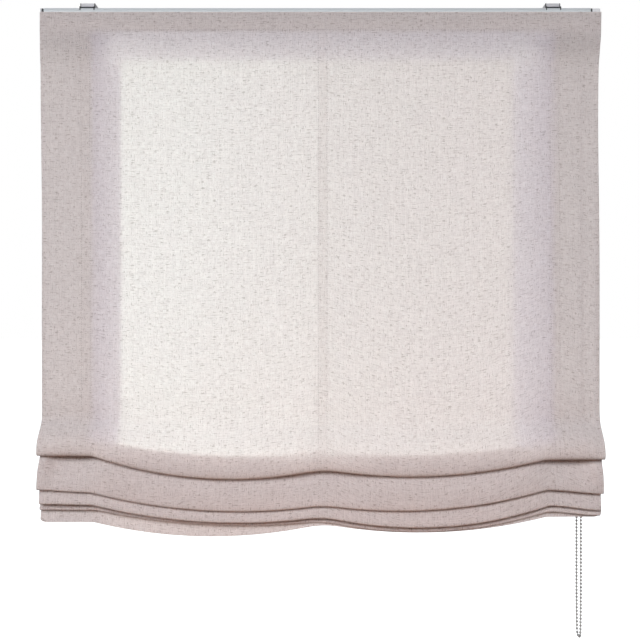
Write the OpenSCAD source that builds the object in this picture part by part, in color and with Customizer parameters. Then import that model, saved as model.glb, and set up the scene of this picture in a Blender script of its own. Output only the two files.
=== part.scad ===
// Soft roman blind with a bead-chain drive, half raised.
// Origin: on the ceiling plane, midway between the two bracket screws.
// +X to the right as seen from the front, +Y towards the back, +Z up. Millimetres.

/* [Cloth] */
// Finished width of the cloth
cloth_w = 950; // [760:10:1300]
// Thickness of the cloth
cloth_t = 0.6; // [0.4:0.1:0.8]
// From each side edge of the cloth to its outer lift line
side_margin = 75; // [65:1:90]
// Width of a lift tape
tape_w = 17; // [10:1:18]
// Thickness of a lift tape
tape_t = 0.5; // [0.3:0.1:0.6]

/* [Headrail] */
// Gap between the ceiling and the top of the rail
rail_drop = 9.5; // [9.5:0.5:12]
// Depth of the rail, front to back
rail_d = 42; // [42:1:46]
// Height of the rail
rail_h = 39.5; // [39.5:0.5:42]
// Wall thickness of the rail
rail_wall = 1.4; // [1.2:0.1:1.6]

/* [Brackets] */
// Width of a ceiling bracket
bracket_w = 25; // [22:1:34]
// Sheet thickness of a bracket
bracket_t = 1.2; // [1:0.1:1.4]
// Screw hole diameter
screw_d = 4.5; // [3.5:0.1:6]

/* [Drive] */
// Core radius of a cord drum
drum_r = 10.4; // [9.5:0.1:10.4]
// Width across the flats of the square shaft
shaft_w = 6; // [5:0.5:6]
// Bead pockets round the chain wheel
pockets = 12; // [11:1:12]
// Distance between two beads
bead_pitch = 6; // [5.8:0.1:6]
// Diameter of a bead
bead_d = 4.5; // [4:0.1:4.5]
// From the ceiling to the lowest point of the chain
chain_drop = 1083; // [1000:1:1400]
// Diameter of a lift cord
cord_d = 1.2; // [0.8:0.1:1.4]

/* [Hidden] */
$fn = 64;

run = 0.05;                          // radial room of a running fit
end_x = cloth_w / 2 - 1.5;           // outer faces of the end caps
cap_l = 5.5;                         // visible length of the left cap
cap_r = 16;                          // visible length of the right cap
neck = 1.2;                          // width of the groove between cap and rail
rail_x0 = -end_x + cap_l;
rail_x1 = end_x - cap_r;
rail_y0 = -20;
rail_y1 = rail_y0 + rail_d;
rail_top = -rail_drop;
rail_bot = rail_top - rail_h;
web_top = rail_top - 4;              // floor of the clip channel
web_bot = web_top - rail_wall;
lip_top = rail_bot + rail_wall;      // the cradles stand on these lips
in_y0 = rail_y0 + rail_wall;
in_y1 = rail_y1 - rail_wall;
shaft_y = 3.5;
shaft_z = rail_bot + 14;
bracket_x = cloth_w / 2 - 80.5;
lift_x = [-(cloth_w / 2 - side_margin), 4, cloth_w / 2 - side_margin];
cord_y = shaft_y - drum_r - cord_d / 2;
chain_x = end_x - 29;
chain_r = bead_pitch / 2 / sin(180 / pockets);

// Cloth. Heights of each fold at the left, middle and right lift line, and how far it
// hangs below the straight line between them, left span and right span.
panel_y = -12.5;
panel_end = -700;
seam = 0.4;                          // the two cloth solids stay this far apart
fold1 = [-763, -789, -771, 26, 18];
fold2 = [-825, -846, -825, 19, 19];
fold3 = [-847, -868, -852, 19, 25];
fold4 = [-858, -877, -864, 17, 22];
hem   = [-877, -881, -870, 24, 20];
ridge = [-736, -760, -742, 24, 20];
ridge_step = 12;                     // the next loops of the tape sit this much lower
front_y = rail_y0 - 2.4 - cloth_t / 2;
panel_path = [
    [front_y, rail_top - 7.5], [front_y, rail_bot - 1], [front_y + 1.2, rail_bot - 13],
    [front_y + 5.2, rail_bot - 31], [panel_y - 1.2, rail_bot - 49],
    [panel_y, rail_bot - 63], [panel_y, panel_end + seam]
];
span_steps = 7;
fold_xs = concat(
    [-cloth_w / 2],
    [for (i = [0:span_steps - 1]) lift_x[0] + (lift_x[1] - lift_x[0]) * i / span_steps],
    [for (i = [0:span_steps]) lift_x[1] + (lift_x[2] - lift_x[1]) * i / span_steps],
    [cloth_w / 2]
);

// Chain: one endless loop in a plane across the rail. Angles run from the wheel's top
// over its front side; the strands close in a little above the bottom bend.
bend_r = 9.2;
bend_z = -chain_drop + bead_d / 2 + bend_r;
strand_zs = [-150, -290, -430, -570, -710, -850, -980];
chain_route = concat(
    [for (a = [0:15:90]) [shaft_y - chain_r * sin(a), shaft_z + chain_r * cos(a)]],
    [for (z = strand_zs) [shaft_y - chain_r, z]],
    [[shaft_y - chain_r + 0.7, bend_z + 50]],
    [for (a = [90:20:270]) [shaft_y - bend_r * sin(a), bend_z + bend_r * cos(a)]],
    [[shaft_y + chain_r - 0.7, bend_z + 50]],
    [for (i = [len(strand_zs) - 1:-1:0]) [shaft_y + chain_r, strand_zs[i]]],
    [for (a = [270:15:345]) [shaft_y - chain_r * sin(a), shaft_z + chain_r * cos(a)]]
);

// ---------- functions ----------

function unit(v) = v / norm(v);
function tangent(p, i) = unit(p[min(i + 1, len(p) - 1)] - p[max(i - 1, 0)]);
// A line drawn beside path p: h > 0 is the back side on the way down.
function beside(p, h) = [for (i = [0:len(p) - 1]) let (t = tangent(p, i)) p[i] + h * [-t[1], t[0]]];
function backwards(p) = [for (i = [len(p) - 1:-1:0]) p[i]];
function ribbon(p, h0, h1) = concat(beside(p, h0), backwards(beside(p, h1)));

function hang(a, b, sag, t) = (1 - t) * a + t * b - 4 * t * (1 - t) * sag;
// Height of a fold line at x.
function level(f, x) =
    x <= lift_x[0] ? f[0] :
    x < lift_x[1] ? hang(f[0], f[1], f[3], (x - lift_x[0]) / (lift_x[1] - lift_x[0])) :
    x < lift_x[2] ? hang(f[1], f[2], f[4], (x - lift_x[1]) / (lift_x[2] - lift_x[1])) :
    f[2];

function over(y, z) = [[y - 1.4, z - 2], [y, z], [y + 1.5, z - 2.5]];
function under(y0, y1, z, r) = [
    [y0, z + 1.4 * r], [y0 + 0.14 * (y1 - y0), z + 0.35 * r], [(y0 + y1) / 2, z],
    [y1 - 0.14 * (y1 - y0), z + 0.35 * r], [y1, z + 1.4 * r]
];
// The folded part of the cloth, cut across at x: panel, four loops and the hem tail.
function fold_path(x) =
    let (f1 = level(fold1, x), f2 = level(fold2, x), f3 = level(fold3, x),
         f4 = level(fold4, x), h = level(hem, x), a = level(ridge, x),
         b = a - ridge_step, c = b - ridge_step, d = c - ridge_step)
    concat(
        [for (k = [0:4]) let (t = k / 5) [panel_y - 30 * t * t * (3 - 2 * t), panel_end + t * (f1 + 11 - panel_end)]],
        under(-42.5, -33, f1, 8),
        over(-13.8, a),
        [[-14.5, a - 7], [-17, a - 12], [-26, a - 24], [-34, a - 49]],
        under(-42, -33, f2, 6),
        [[-27, a - 49], [-21, a - 24]],
        over(-13.8, b),
        [[-14.5, b - 7], [-16.5, b - 12], [-20.5, b - 24], [-22, b - 37]],
        under(-28, -22, f3, 4),
        [[-19, b - 37], [-18, b - 24]],
        over(-13.8, c),
        [[-14.2, c - 7], [-15.6, c - 12], [-16.8, c - 25]],
        under(-21, -16.6, f4, 3.5),
        [[-14.6, c - 25]],
        over(-13.1, d),
        [[-12.2, d - 14], [-13, d - 50], [-14.3, h]]
    );

// ---------- helpers ----------

// A flat outline in (y, z), drawn out along x.
module along_x(x0, x1) { translate([x0, 0, 0]) rotate([90, 0, 90]) linear_extrude(x1 - x0) children(); }
// A round bar on the shaft's axis.
module on_shaft(x0, x1, r) { translate([x0, shaft_y, shaft_z]) rotate([0, 90, 0]) cylinder(h = x1 - x0, r = r); }
module box(x0, x1, y0, y1, z0, z1) { translate([x0, y0, z0]) cube([x1 - x0, y1 - y0, z1 - z0]); }
module square_hole(x0, x1) {
    s = shaft_w / 2 + run;
    box(x0, x1, shaft_y - s, shaft_y + s, shaft_z - s, shaft_z + s);
}

// ---------- headrail ----------

module rail_section() {
    difference() {
        translate([rail_y0, rail_bot]) square([rail_d, rail_h]);
        translate([in_y0, lip_top]) square([rail_d - 2 * rail_wall, web_bot - lip_top]);
        translate([in_y0 + 2, rail_bot - 1]) square([rail_d - 2 * rail_wall - 4, rail_wall + 2]);
        translate([in_y0, web_top]) square([rail_d - 2 * rail_wall, rail_top - rail_wall - web_top]);
        translate([rail_y0 + 4.4, rail_top - rail_wall - 1]) square([rail_d - 8.8, rail_wall + 2]);
        // fine lines along the front face, above the cloth
        for (dz = [1.5, 3.7]) translate([rail_y0 - 1, rail_top - dz - 0.5]) square([1.35, 0.5]);
    }
}
module headrail() { color([0.78, 0.78, 0.77]) along_x(rail_x0, rail_x1) rail_section(); }

module cap_outline(inset) {
    r = 1.5;
    y0 = rail_y0 + inset;
    y1 = rail_y1 - inset;
    z0 = rail_bot + inset;
    z1 = rail_top - inset;
    for (y = [y0 + r, y1 - r], z = [z0 + r, z1 - r]) translate([y, z]) circle(r);
    translate([y0 + r, z0]) square([y1 - y0 - 2 * r, z1 - z0]);
    translate([y0, z0 + r]) square([y1 - y0, z1 - z0 - 2 * r]);
}
module plug_outline(inset) {
    translate([in_y0 + inset, lip_top + inset]) square([in_y1 - in_y0 - 2 * inset, web_bot - lip_top - 2 * inset]);
}
module end_cap_left() {
    color([0.72, 0.72, 0.71]) difference() {
        union() {
            along_x(-end_x, rail_x0 - neck) cap_outline(0);
            along_x(-end_x + 1, rail_x0) cap_outline(0.9);
            difference() {
                along_x(rail_x0 - 0.5, rail_x0 + 12) plug_outline(0.2);
                along_x(rail_x0 - 1, rail_x0 + 13) plug_outline(2.2);
            }
            on_shaft(rail_x0 - 1, rail_x0 + 12, 8.5);
        }
        on_shaft(rail_x0, rail_x0 + 13, 6 + run);
    }
}
module end_cap_right() {
    color([0.86, 0.86, 0.84]) {
        difference() {
            union() {
                along_x(rail_x1 + neck, end_x) cap_outline(0);
                along_x(rail_x1, end_x - 1) cap_outline(0.9);
            }
            along_x(rail_x1 - 1, end_x - 2.2) plug_outline(1.2);
        }
        // pegs that plug into the drive housing
        for (p = [[-13, rail_bot + 25], [15, rail_bot + 5]])
            translate([rail_x1 - 3, p[0], p[1]]) rotate([0, 90, 0]) cylinder(h = 14.5, r = 1.95);
    }
}

// ---------- ceiling brackets ----------

module bracket(x) {
    w = bracket_w / 2;
    t = bracket_t;
    foot = rail_top + 0.1;
    difference() {
        union() {
            box(x - w, x + w, -16, 18, -t, 0);
            box(x - w, x + w, -16, -16 + t, -5.6, 0);
            box(x - w, x + w, 18 - t, 18, -3.4, 0);
            for (s = [-1, 1]) {
                x0 = min(x + s * w, x + s * (w - t));
                box(x0, x0 + t, -16, 18, foot, 0);
                // claw over the rail's front edge
                box(x0, x0 + t, rail_y0 - 1.3, -15, foot, foot + 2.4);
                box(x0, x0 + t, rail_y0 - 1.3, rail_y0 - 0.1, foot - 3.2, foot + 1);
            }
        }
        translate([x, 0, -3]) cylinder(h = 4, d = screw_d);
    }
}
module bracket_clip(x) {
    w = bracket_w / 2 - bracket_t - 0.1;
    hook_z = rail_top - rail_wall;
    difference() {
        union() {
            box(x - w, x + w, -14.6, 16.6, -6.2, -5.2);
            for (s = [-1, 1]) translate([x + s * (w - 1.6), 1, -5.7]) cylinder(h = 5.7 - bracket_t, r = 1.5);
            box(x - w + 1.2, x + w - 1.2, -14.6, -13.6, hook_z - 1, -5.2);
            box(x - w + 1.2, x + w - 1.2, -17.6, -13.6, hook_z - 1, hook_z);
            box(x - w + 1.2, x + w - 1.2, 15.6, 16.6, hook_z - 1, -5.2);
            box(x - w + 1.2, x + w - 1.2, 15.6, 19.6, hook_z - 1, hook_z);
        }
        translate([x, 0, -8]) cylinder(h = 4, r = 5);
    }
}
module bracket_left() { color([0.82, 0.82, 0.80]) bracket(-bracket_x); }
module bracket_right() { color([0.82, 0.82, 0.80]) bracket(bracket_x); }
module bracket_clip_left() { color([0.62, 0.62, 0.60]) bracket_clip(-bracket_x); }
module bracket_clip_right() { color([0.62, 0.62, 0.60]) bracket_clip(bracket_x); }

// ---------- hook-and-loop pair ----------

module hook_strip() { color("white") box(rail_x0 + 2, rail_x1 - 1, rail_y0 - 1.2, rail_y0, rail_top - 22, rail_top - 8); }
module loop_strip() { color("white") box(-cloth_w / 2 + 3, cloth_w / 2 - 3, rail_y0 - 2.4, rail_y0 - 1.2, rail_top - 22, rail_top - 8); }

// ---------- shaft, drums and cradles ----------

shaft_x0 = rail_x0 + 4;
shaft_x1 = rail_x1 - 33.5;
module drive_shaft() {
    s = shaft_w / 2;
    color([0.60, 0.61, 0.62]) box(shaft_x0, shaft_x1, shaft_y - s, shaft_y + s, shaft_z - s, shaft_z + s);
}
module shaft_bush() {
    color("white") difference() {
        union() {
            on_shaft(rail_x0 + 2, rail_x0 + 14, 6);
            on_shaft(rail_x0 + 12.5, rail_x0 + 14, 8);
        }
        square_hole(rail_x0 + 1, rail_x0 + 15);
    }
}
module drum(x) {
    difference() {
        union() {
            on_shaft(x - 17, x + 17, 5.5);
            on_shaft(x - 12, x + 12, drum_r);
            for (d = [-13.4, 12]) on_shaft(x + d, x + d + 1.4, drum_r + 2);
        }
        square_hole(x - 18, x + 18);
    }
}
module drum_left() { color("white") drum(lift_x[0]); }
module drum_centre() { color("white") drum(lift_x[1]); }
module drum_right() { color("white") drum(lift_x[2]); }

module cradle(x) {
    difference() {
        union() {
            difference() {
                box(x - 17, x + 17, in_y0 + 0.2, in_y1 - 0.2, lip_top, lip_top + 1.4);
                box(x - 14.2, x + 14.2, shaft_y - 8, shaft_y + 8, lip_top - 1, lip_top + 3);
            }
            for (d = [-16.6, 14.4]) box(x + d, x + d + 2.2, shaft_y - 9, shaft_y + 9, lip_top, shaft_z + 3);
            translate([x, cord_y, lip_top - 1.2]) cylinder(h = 2, r = 2.6);
        }
        on_shaft(x - 18, x + 18, 5.5 + run);
        translate([x, cord_y, lip_top - 3]) cylinder(h = 6, r = 1.4);
    }
}
module cradle_left() { color([0.93, 0.93, 0.92]) cradle(lift_x[0]); }
module cradle_centre() { color([0.93, 0.93, 0.92]) cradle(lift_x[1]); }
module cradle_right() { color([0.93, 0.93, 0.92]) cradle(lift_x[2]); }

// ---------- chain drive ----------

core_x = rail_x1 - 32.5;
module drive_housing() {
    color([0.93, 0.93, 0.92]) difference() {
        union() {
            along_x(rail_x1 - 3.5, rail_x1) plug_outline(0.2);
            on_shaft(core_x, rail_x1 - 1, 5);
            // hood over the beads
            difference() {
                on_shaft(chain_x - 5.5, rail_x1 - 2, 15.8);
                on_shaft(chain_x - 6.5, rail_x1 - 3.5, 14.6);
                box(chain_x - 7, rail_x1 - 3.5, -30, 30, rail_bot - 10, shaft_z - 2);
            }
        }
        on_shaft(core_x - 1, core_x + 9, 3 + run);
        for (p = [[-13, rail_bot + 25], [15, rail_bot + 5]])
            translate([rail_x1 - 4, p[0], p[1]]) rotate([0, 90, 0]) cylinder(h = 5, r = 2);
    }
}
module chain_wheel() {
    color("white") difference() {
        union() {
            on_shaft(chain_x - 4.3, chain_x + 4.3, chain_r + 1.8);
            difference() {
                on_shaft(core_x, chain_x - 4, 11);
                on_shaft(core_x - 1, chain_x - 5.2, 9.3);
                // slot for the spring tails
                box(core_x - 1, chain_x - 6, shaft_y, shaft_y + 12, shaft_z - 5, shaft_z + 5);
            }
        }
        on_shaft(core_x - 1, chain_x + 6, 5 + run);
        translate([chain_x, shaft_y, shaft_z]) rotate([0, 90, 0]) rotate_extrude() {
            translate([chain_r, 0]) circle(bead_d / 2 + 0.35);
            translate([chain_r, -bead_d / 2 - 0.35]) square([4, bead_d + 0.7]);
        }
        for (i = [0:pockets - 1]) translate([chain_x, shaft_y, shaft_z]) rotate([i * 360 / pockets, 0, 0])
            translate([0, 0, chain_r]) sphere(bead_d / 2 + 0.75);
    }
}
// Two close-wound wrap springs on the fixed core.
spring_r = 5.8;
wire_r = 0.6;
spring_turns = 3.5;
function coil(x, i, n) = let (a = 360 * spring_turns * i / n)
    [x + 1.35 * spring_turns * i / n, shaft_y + spring_r * cos(a), shaft_z + spring_r * sin(a)];
function coil_ring(x, i, n) = let (a = 360 * spring_turns * i / n, c = coil(x, i, n), out = [0, cos(a), sin(a)])
    [for (k = [0:7]) c + wire_r * (cos(45 * k) * out + sin(45 * k) * [1, 0, 0])];
module tube(rings, closed) {
    n = len(rings);
    m = len(rings[0]);
    pts = [for (r = rings) each r];
    walls = [for (i = [0:n - (closed ? 1 : 2)], k = [0:m - 1]) let (j = (i + 1) % n, q = (k + 1) % m)
        each [[i * m + k, i * m + q, j * m + q], [i * m + k, j * m + q, j * m + k]]];
    lids = closed ? [] : [[for (k = [m - 1:-1:0]) k], [for (k = [0:m - 1]) (n - 1) * m + k]];
    polyhedron(pts, concat(walls, lids), convexity = 10);
}
module clutch_springs() {
    n = 70;
    color([0.55, 0.56, 0.58]) for (x = [core_x + 1.5, core_x + 8]) tube([for (i = [0:n]) coil_ring(x, i, n)], false);
}
module clutch_hub() {
    color([0.35, 0.36, 0.38]) difference() {
        union() {
            on_shaft(core_x - 6.5, core_x - 0.4, 8.9);
            on_shaft(core_x - 1, core_x + 7, 3);
            // finger that reaches over the springs
            intersection() {
                difference() {
                    on_shaft(core_x - 1, core_x + 14, 8.9);
                    on_shaft(core_x - 2, core_x + 15, 7);
                }
                box(core_x - 2, core_x + 15, shaft_y - 12, shaft_y - 4, shaft_z - 3.5, shaft_z + 3.5);
            }
        }
        square_hole(core_x - 8, shaft_x1 + 0.1);
    }
}

function chain_frame(i) = let (p = chain_route, n = len(p), t = unit(p[(i + 1) % n] - p[(i + n - 1) % n])) [-t[1], t[0]];
function chain_ring(i) = let (p = chain_route[i], s = chain_frame(i), r = bead_d / 2)
    [for (k = [0:9]) [chain_x + r * sin(36 * k), p[0] + r * cos(36 * k) * s[0], p[1] + r * cos(36 * k) * s[1]]];
module bead_chain() { color([0.70, 0.70, 0.68]) tube([for (i = [0:len(chain_route) - 1]) chain_ring(i)], true); }

// ---------- cords, tapes and stops ----------

function last_ridge(i) = level(ridge, lift_x[i]) - 3 * ridge_step;
module lift_cord(i) {
    z = last_ridge(i) - 11;
    translate([lift_x[i], cord_y, z]) cylinder(h = shaft_z - z, d = cord_d);
}
module lift_cord_left() { color("white") lift_cord(0); }
module lift_cord_centre() { color("white") lift_cord(1); }
module lift_cord_right() { color("white") lift_cord(2); }

module lift_tape(i) {
    p = [for (k = [1:len(panel_path) - 1]) panel_path[k]];
    inner = beside(panel_path, cloth_t / 2);
    outer = beside(panel_path, cloth_t / 2 + tape_t);
    n = len(panel_path) - 1;
    along_x(lift_x[i] - tape_w / 2, lift_x[i] + tape_w / 2)
        polygon(concat([for (k = [1:n]) inner[k]], [for (k = [n:-1:1]) outer[k]]));
}
module lift_tape_left() { color([0.95, 0.95, 0.93]) lift_tape(0); }
module lift_tape_centre() { color([0.95, 0.95, 0.93]) lift_tape(1); }
module lift_tape_right() { color([0.95, 0.95, 0.93]) lift_tape(2); }

module cord_stop(i) {
    z = last_ridge(i) - 5;
    translate([lift_x[i], cord_y, z - 13]) difference() {
        rotate_extrude() polygon([[0, 0], [2.2, 0], [3, 2], [3, 11], [2.2, 13], [0, 13]]);
        translate([0, 0, 5]) cylinder(h = 9, r = cord_d / 2 + 0.15);
    }
}
module cord_stop_left() { color("white") cord_stop(0); }
module cord_stop_centre() { color("white") cord_stop(1); }
module cord_stop_right() { color("white") cord_stop(2); }

// ---------- cloth ----------

module fabric_panel() {
    color([0.80, 0.74, 0.71]) along_x(-cloth_w / 2, cloth_w / 2) polygon(ribbon(panel_path, -cloth_t / 2, cloth_t / 2));
}
// Each cut of the folds is a closed band round its path; bands are joined from side to side.
function fold_band(x) = let (p = fold_path(x)) [for (q = ribbon(p, -cloth_t / 2, cloth_t / 2)) [x, q[0], q[1]]];
module fabric_folds() {
    bands = [for (x = fold_xs) fold_band(x)];
    n = len(bands);
    m = len(bands[0]);
    h = m / 2;
    walls = [for (i = [0:n - 2], k = [0:m - 1]) let (q = (k + 1) % m)
        each [[i * m + k, i * m + q, (i + 1) * m + q], [i * m + k, (i + 1) * m + q, (i + 1) * m + k]]];
    first = [for (k = [0:h - 2]) each [[k, m - 1 - k, m - 2 - k], [k, m - 2 - k, k + 1]]];
    last = [for (f = first) [for (v = f) (n - 1) * m + v]];
    color([0.77, 0.71, 0.68]) polyhedron([for (b = bands) each b],
        concat(walls, first, [for (f = last) [f[2], f[1], f[0]]]), convexity = 20);
}

headrail();
end_cap_left();
end_cap_right();
bracket_left();
bracket_right();
bracket_clip_left();
bracket_clip_right();
hook_strip();
loop_strip();
drive_shaft();
shaft_bush();
drum_left();
drum_centre();
drum_right();
cradle_left();
cradle_centre();
cradle_right();
drive_housing();
chain_wheel();
clutch_springs();
clutch_hub();
lift_cord_left();
lift_cord_centre();
lift_cord_right();
lift_tape_left();
lift_tape_centre();
lift_tape_right();
cord_stop_left();
cord_stop_centre();
cord_stop_right();
fabric_panel();
fabric_folds();
bead_chain();
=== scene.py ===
import math

import bpy
import numpy as np
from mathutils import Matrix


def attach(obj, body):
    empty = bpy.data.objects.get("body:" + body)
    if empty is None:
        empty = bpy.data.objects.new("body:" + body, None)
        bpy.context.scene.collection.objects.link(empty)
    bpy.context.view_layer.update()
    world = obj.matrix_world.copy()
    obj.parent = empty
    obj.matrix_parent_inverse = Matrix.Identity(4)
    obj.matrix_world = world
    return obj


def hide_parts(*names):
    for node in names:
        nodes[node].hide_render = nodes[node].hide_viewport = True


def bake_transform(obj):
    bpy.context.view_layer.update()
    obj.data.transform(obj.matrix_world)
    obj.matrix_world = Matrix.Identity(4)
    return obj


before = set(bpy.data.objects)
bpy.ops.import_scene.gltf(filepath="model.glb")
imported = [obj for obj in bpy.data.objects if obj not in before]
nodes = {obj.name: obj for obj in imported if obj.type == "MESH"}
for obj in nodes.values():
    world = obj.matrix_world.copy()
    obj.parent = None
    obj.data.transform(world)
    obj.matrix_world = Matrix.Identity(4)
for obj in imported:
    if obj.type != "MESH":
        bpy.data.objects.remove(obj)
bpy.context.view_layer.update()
scene = bpy.context.scene

# ---------------------------------------------------------------- camera

cam_data = bpy.data.cameras.new("camera")
cam_data.lens = 45.0
cam_data.sensor_width = 36.0
cam_data.clip_end = 60.0
camera = bpy.data.objects.new("camera", cam_data)
camera.location = (-0.0005, -1.373, -0.537)
camera.rotation_euler = (math.radians(90), 0, 0)
scene.collection.objects.link(camera)
scene.camera = camera

# ---------------------------------------------------------------- small helpers


def smooth(t):
    t = np.clip(t, 0.0, 1.0)
    return t * t * (3 - 2 * t)


def plateau(x, centre, half):
    """1 near centre, 0 outside, with soft shoulders."""
    return np.exp(-(((x - centre) / half) ** 4))


def piece(name, verts_mm, faces, mats, smooth_shade=True):
    """A mesh object from points in millimetres."""
    me = bpy.data.meshes.new(name)
    v = np.asarray(verts_mm, float) * 0.001
    me.from_pydata(v.tolist(), [], [list(map(int, f)) for f in faces])
    for m in mats:
        me.materials.append(m)
    me.polygons.foreach_set("use_smooth", [smooth_shade] * len(me.polygons))
    me.update()
    ob = bpy.data.objects.new(name, me)
    scene.collection.objects.link(ob)
    return ob


def grid_faces(rows, cols, start=0, flip=False):
    i = np.arange(rows - 1)[:, None] * cols + np.arange(cols - 1)[None, :] + start
    f = np.stack([i, i + 1, i + 1 + cols, i + cols], -1).reshape(-1, 4)
    return f[:, ::-1] if flip else f


def tube(points, radius, sides, closed_ends=True):
    """Points and faces of a round tube along a line, in millimetres."""
    p = np.asarray(points, float)
    t = np.gradient(p, axis=0)
    t /= np.linalg.norm(t, axis=1)[:, None]
    up = np.array([1.0, 0, 0]) if abs(t[0][0]) < 0.9 else np.array([0, 0, 1.0])
    verts, faces = [], []
    r = np.broadcast_to(np.asarray(radius, float), (len(p),))
    a = np.arange(sides) * 2 * math.pi / sides
    for k in range(len(p)):
        up = up - t[k] * np.dot(up, t[k])
        up /= np.linalg.norm(up)
        side = np.cross(t[k], up)
        verts.append(p[k] + r[k] * (np.cos(a)[:, None] * up + np.sin(a)[:, None] * side))
    for k in range(len(p) - 1):
        for j in range(sides):
            j2 = (j + 1) % sides
            faces.append([k * sides + j, k * sides + j2, (k + 1) * sides + j2, (k + 1) * sides + j])
    if closed_ends:
        faces.append(list(range(sides))[::-1])
        faces.append([(len(p) - 1) * sides + j for j in range(sides)])
    return np.concatenate(verts), faces


def joined(parts):
    """Several (points, faces) as one."""
    verts, faces, n = [], [], 0
    for v, f in parts:
        verts.append(np.asarray(v, float))
        faces += [[i + n for i in g] for g in f]
        n += len(v)
    return np.concatenate(verts), faces


# ---------------------------------------------------------------- material helpers


class Mat:
    """A node material with short ways to add nodes."""

    def __init__(self, name):
        self.mat = bpy.data.materials.new(name)
        self.mat.use_nodes = True
        self.nt = self.mat.node_tree
        self.nt.nodes.clear()
        self.out = self.add("ShaderNodeOutputMaterial")
        self.co = self.add("ShaderNodeTexCoord")

    def add(self, kind, **props):
        n = self.nt.nodes.new(kind)
        for k, v in props.items():
            setattr(n, k, v)
        return n

    def put(self, socket, value):
        if isinstance(value, bpy.types.NodeSocket):
            self.nt.links.new(value, socket)
        else:
            socket.default_value = value

    def math(self, op, a, b=0.0, clamp=False):
        n = self.add("ShaderNodeMath", operation=op, use_clamp=clamp)
        self.put(n.inputs[0], a)
        self.put(n.inputs[1], b)
        return n.outputs[0]

    def xyz(self):
        s = self.add("ShaderNodeSeparateXYZ")
        self.put(s.inputs[0], self.co.outputs["Object"])
        return s.outputs

    def vec(self, x, y, z=0.0):
        c = self.add("ShaderNodeCombineXYZ")
        for s, v in zip(c.inputs, (x, y, z)):
            self.put(s, v)
        return c.outputs[0]

    def scaled(self, sx, sy, sz):
        m = self.add("ShaderNodeMapping")
        self.put(m.inputs["Vector"], self.co.outputs["Object"])
        m.inputs["Scale"].default_value = (sx, sy, sz)
        return m.outputs[0]

    def noise(self, vector, scale=1.0, detail=2.0, rough=0.55, dims="3D"):
        n = self.add("ShaderNodeTexNoise", noise_dimensions=dims)
        self.put(n.inputs["Vector"], vector)
        n.inputs["Scale"].default_value = scale
        n.inputs["Detail"].default_value = detail
        n.inputs["Roughness"].default_value = rough
        return n.outputs[0]

    def remap(self, value, a, b, c=0.0, d=1.0):
        n = self.add("ShaderNodeMapRange", clamp=True)
        self.put(n.inputs["Value"], value)
        for k, v in zip(("From Min", "From Max", "To Min", "To Max"), (a, b, c, d)):
            n.inputs[k].default_value = v
        return n.outputs[0]

    def mix(self, fac, a, b, blend="MIX"):
        n = self.add("ShaderNodeMix", data_type="RGBA", blend_type=blend)
        self.put(n.inputs[0], fac)
        self.put(n.inputs[6], a if isinstance(a, bpy.types.NodeSocket) else (*a, 1.0))
        self.put(n.inputs[7], b if isinstance(b, bpy.types.NodeSocket) else (*b, 1.0))
        return n.outputs[2]

    def bump(self, height, strength, distance):
        n = self.add("ShaderNodeBump")
        n.inputs["Strength"].default_value = strength
        n.inputs["Distance"].default_value = distance
        self.put(n.inputs["Height"], height)
        return n.outputs[0]

    def principled(self, colour, rough, normal=None, **consts):
        p = self.add("ShaderNodeBsdfPrincipled")
        self.put(p.inputs["Base Color"], colour if isinstance(colour, bpy.types.NodeSocket) else (*colour, 1.0))
        self.put(p.inputs["Roughness"], rough)
        if normal is not None:
            self.put(p.inputs["Normal"], normal)
        for k, v in consts.items():
            p.inputs[k.replace("_", " ")].default_value = v
        return p

    def finish(self, shader):
        self.nt.links.new(shader.outputs[0], self.out.inputs["Surface"])
        return self.mat


def metal(name, light, dark, rough, along, fine=2600.0, bump=0.05, shine=1.0):
    """Drawn or plated metal: fine lines along one axis, small changes of tone and gloss."""
    m = Mat(name)
    s = [fine, fine, fine]
    s["xyz".index(along)] = 18.0
    lines = m.noise(m.scaled(*s), detail=2.0)
    clouds = m.noise(m.scaled(55, 55, 55), detail=3.0)
    tone = m.math("ADD", m.math("MULTIPLY", lines, 0.55), m.math("MULTIPLY", clouds, 0.45))
    colour = m.mix(m.remap(tone, 0.34, 0.66), dark, light)
    r = m.remap(clouds, 0.3, 0.7, rough - 0.06, rough + 0.08)
    return m.finish(m.principled(colour, r, m.bump(lines, bump, 0.0002), Metallic=shine))


def plastic(name, light, dark, rough, bump=0.12):
    """Moulded plastic: fine spark texture and slight flow marks."""
    m = Mat(name)
    grain = m.noise(m.scaled(2200, 2200, 2200), detail=2.0)
    flow = m.noise(m.scaled(35, 90, 90), detail=3.0)
    colour = m.mix(m.remap(flow, 0.3, 0.7), dark, light)
    r = m.remap(flow, 0.3, 0.7, rough - 0.05, rough + 0.07)
    return m.finish(m.principled(colour, r, m.bump(grain, bump, 0.0002), Specular_IOR_Level=0.45))


def woven(name, light, dark, fx, fz, rough=0.9, bump=0.35, alpha=1.0):
    """Narrow woven goods: tape and strip, sheer where alpha is low."""
    m = Mat(name)
    x, y, z = m.xyz()
    run = m.math("SUBTRACT", z, m.math("MULTIPLY", y, 0.7))
    warp = m.math("SINE", m.math("MULTIPLY", x, fx))
    weft = m.math("SINE", m.math("MULTIPLY", run, fz))
    cross = m.math("ADD", m.math("MULTIPLY", m.math("MULTIPLY", warp, weft), 0.5), 0.5)
    fuzz = m.noise(m.scaled(420, 420, 420), detail=3.0)
    tone = m.math("ADD", m.math("MULTIPLY", cross, 0.5), m.math("MULTIPLY", fuzz, 0.5))
    colour = m.mix(m.remap(tone, 0.25, 0.75), dark, light)
    return m.finish(m.principled(colour, rough, m.bump(cross, bump, 0.0003), Sheen_Weight=0.2, Alpha=alpha))


# ---------------------------------------------------------------- the bead chain (cord)

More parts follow.
